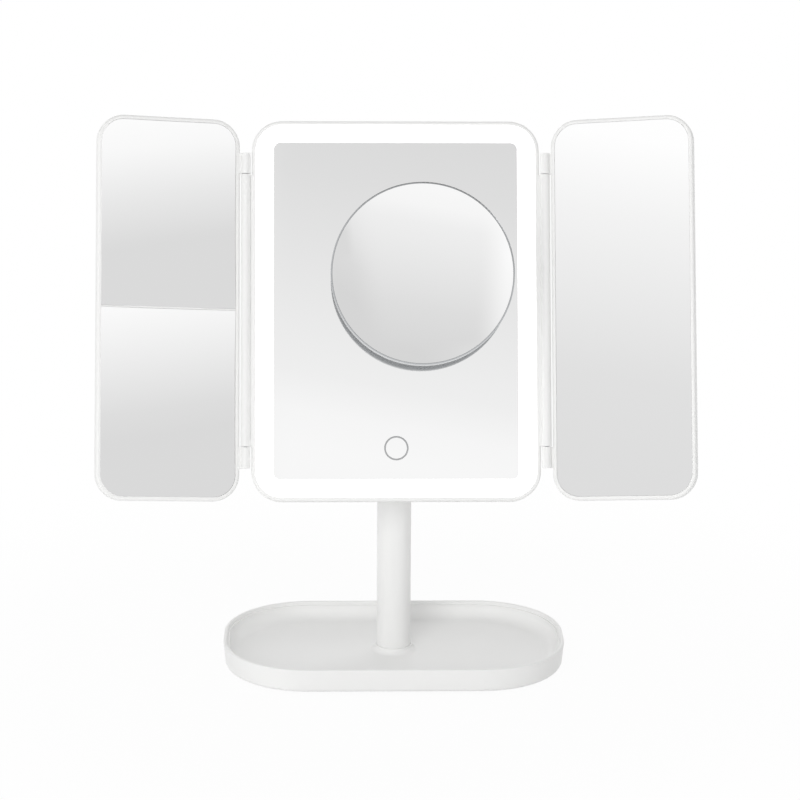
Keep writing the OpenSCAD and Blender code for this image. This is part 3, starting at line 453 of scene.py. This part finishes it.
# open-cell grey foam with adhesive on both faces
foam, tree, shader, spot = finish("grey_foam_tape", "#5b5d60", 0.9)
cell = add(tree, "TexVoronoi", {"Vector": spot, "Scale": per_mm(0.6)})
pores = add(tree, "Bump", {"Height": cell.outputs["Distance"], "Strength": 0.4, "Distance": 0.2 * mm})
tree.links.new(pores.outputs[0], shader.inputs["Normal"])
dress(["mirror_tape", "touch_contact"], foam)


# ---- Right wing ----
# A thin white ABS tray with a knuckle at each end of its inner side, turning on steel pins in
# the bezel's barrel. One flat silvered glass is taped into it.

dress(["right_wing_shell"], satin_abs)
dress(["right_mirror"], silvered)
dress(["right_mirror_tape"], foam)
dress(["hinge_pins"], steel)


# ---- Left wing ----
# The same tray with a thin bar across its middle. Each half holds a hollow glass, slumped
# over a ball-shaped form, silvered, and cut to the tray's outline.

# the frames that the glasses lie in: the head leans back about its pivot, and a wing turns
# about its hinge beside the middle of the centre mirror
pivot, head_lean, mirror_middle = Vector((0, 3.5, 176)) * mm, math.radians(20), Vector((0, -34, 42)) * mm
head = (Matrix.Translation(pivot) @ Matrix.Rotation(-head_lean, 4, "X")
        @ Matrix.Translation(mirror_middle))
hinge_x, hinge_lift, wing_middle = 89.5 * mm, 0.25 * mm, 46.3 * mm
left_turn = math.radians(15.5)
left_wing = (head @ Matrix.Translation((-hinge_x, -hinge_lift, 0)) @ Matrix.Rotation(left_turn, 4, "Z")
             @ Matrix.Translation((-wing_middle, hinge_lift, 0)))
glass_seat, cutter_deep, sectors = 0.3 * mm, 40 * mm, 144


def slumped_glass(name, ball, reach, thick, cutter, spot):
    """Glass whose front lies on the inside of a ball, its edge at depth 0, cut by a solid."""
    rings, spare = 28, 3 * mm
    sag = ball - math.sqrt(ball ** 2 - reach ** 2)
    rise = math.asin((reach + spare) / ball)
    bpy.ops.object.select_all(action="DESELECT")
    bpy.ops.mesh.primitive_plane_add(size=1)
    glass = bpy.context.object
    glass.name = glass.data.name = name
    # one point at the deepest place, spun up the ball and then round its axis
    bpy.ops.object.mode_set(mode="EDIT")
    bpy.ops.mesh.select_mode(type="VERT")
    bpy.ops.mesh.select_all(action="SELECT")
    bpy.ops.mesh.merge(type="CENTER")
    bpy.ops.transform.translate(value=(0, sag, 0))
    bpy.ops.mesh.spin(steps=rings, angle=rise, center=(0, sag - ball, 0), axis=(1, 0, 0))
    bpy.ops.mesh.select_all(action="SELECT")
    bpy.ops.mesh.spin(steps=sectors, angle=2 * math.pi, center=(0, 0, 0), axis=(0, 1, 0))
    bpy.ops.mesh.select_all(action="SELECT")
    bpy.ops.mesh.remove_doubles(threshold=0.01 * mm)
    bpy.ops.mesh.normals_make_consistent(inside=False)
    bpy.ops.object.mode_set(mode="OBJECT")
    toward_viewer = sum(face.normal.y for face in glass.data.polygons) < 0
    solid = glass.modifiers.new("thickness", "SOLIDIFY")
    solid.thickness = thick
    solid.offset = -1 if toward_viewer else 1
    bpy.ops.object.modifier_apply(modifier="thickness")
    cut = glass.modifiers.new("outline", "BOOLEAN")
    cut.operation = "INTERSECT"
    cut.solver = "EXACT"
    cut.object = cutter
    bpy.ops.object.modifier_apply(modifier="outline")
    bpy.data.objects.remove(cutter)
    glass.matrix_world = spot
    bpy.ops.object.transform_apply(location=True, rotation=True, scale=True)
    bpy.ops.object.shade_smooth_by_angle(angle=math.radians(20))
    glass.data.materials.clear()
    glass.data.materials.append(silvered)
    return glass


def half_outline(wide, high, corner, outer):
    """Solid of one half of the wing's opening: its two outer corners are round."""
    corner_steps = 16
    bpy.ops.object.select_all(action="DESELECT")
    bpy.ops.mesh.primitive_cube_add(size=1, scale=(wide, cutter_deep, high))
    block = bpy.context.object
    bpy.ops.object.transform_apply(location=False, rotation=False, scale=True)
    bpy.ops.object.mode_set(mode="EDIT")
    bpy.ops.mesh.select_mode(type="EDGE")
    bpy.ops.mesh.select_all(action="DESELECT")
    bpy.ops.object.mode_set(mode="OBJECT")
    for edge in block.data.edges:
        ends = [block.data.vertices[i].co for i in edge.vertices]
        edge.select = abs(ends[0].y - ends[1].y) > mm and ends[0].z * outer > 0
    bpy.ops.object.mode_set(mode="EDIT")
    bpy.ops.mesh.bevel(offset=corner, segments=corner_steps)
    bpy.ops.object.mode_set(mode="OBJECT")
    return block


dress(["left_wing_shell"], satin_abs)
dress(["left_mirror_pads"], foam)
opening_w, half_h, bar, slip, corner = 81 * mm, 111.2 * mm, 0.8 * mm, 0.1 * mm, 13.5 * mm
wing_glass = 2 * mm
for name, outer, ball in (("left_upper_mirror", 1, 850 * mm), ("left_lower_mirror", -1, 680 * mm)):
    spot = left_wing @ Matrix.Translation((0, glass_seat, outer * (half_h + bar) / 2))
    outline = half_outline(opening_w - 2 * slip, half_h - 2 * slip, corner, outer)
    piece = slumped_glass("slumped_" + name, ball, math.hypot(opening_w, half_h) / 2, wing_glass, outline,
                          spot)
    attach(piece, "left_wing")
    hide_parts(name)


# ---- Magnifier ----
# A cup of silver-painted ABS with a thin bright ring pressed round its mouth, and in it a
# round hollow glass. Three clear PVC suction cups on its back grip the centre mirror.

# silver lacquer: fine metal dust in clear coat, smooth to the eye
silver_paint, tree, shader, spot = finish("silver_painted_abs", "#9b9d9f", 0.32, Metallic=0.75)
uneven_gloss(tree, shader, spot, 30, 0.28, 0.36, detail=1.0)
dress(["magnifier_shell"], silver_paint)

# chrome plated on polished ABS: mirror bright
chrome, tree, shader, spot = finish("bright_chrome_plate", "#c0c2c4", 0.08, Metallic=1.0)
uneven_gloss(tree, shader, spot, 12, 0.05, 0.1, detail=1.0)
dress(["magnifier_ring"], chrome)

# soft clear PVC: glossy, a little milky
pvc, tree, shader, spot = finish("clear_soft_pvc", "#e2e5e5", 0.25, IOR=1.53, Transmission_Weight=0.3)
uneven_gloss(tree, shader, spot, 5, 0.2, 0.32)
dress(["suction_cups"], pvc)

magnifier_x, magnifier_z, magnifier_front = 15.4 * mm, 19.4 * mm, 22 * mm
magnifier_r, magnifier_ball, magnifier_glass = 53.3 * mm, 300 * mm, 2.5 * mm
magnifier = head @ Matrix.Translation((magnifier_x, glass_seat - magnifier_front, magnifier_z))
bpy.ops.object.select_all(action="DESELECT")
bpy.ops.mesh.primitive_cylinder_add(vertices=sectors, radius=magnifier_r, depth=cutter_deep,
                                    rotation=(math.pi / 2, 0, 0))
round_outline = bpy.context.object
bpy.ops.object.transform_apply(location=False, rotation=True, scale=False)
piece = slumped_glass("slumped_magnifier_mirror", magnifier_ball, magnifier_r, magnifier_glass,
                      round_outline, magnifier)
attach(piece, "magnifier")
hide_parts("magnifier_mirror")


# ---- Colour ----
# Plain display of the colours.

bpy.context.scene.view_settings.view_transform = "Standard"
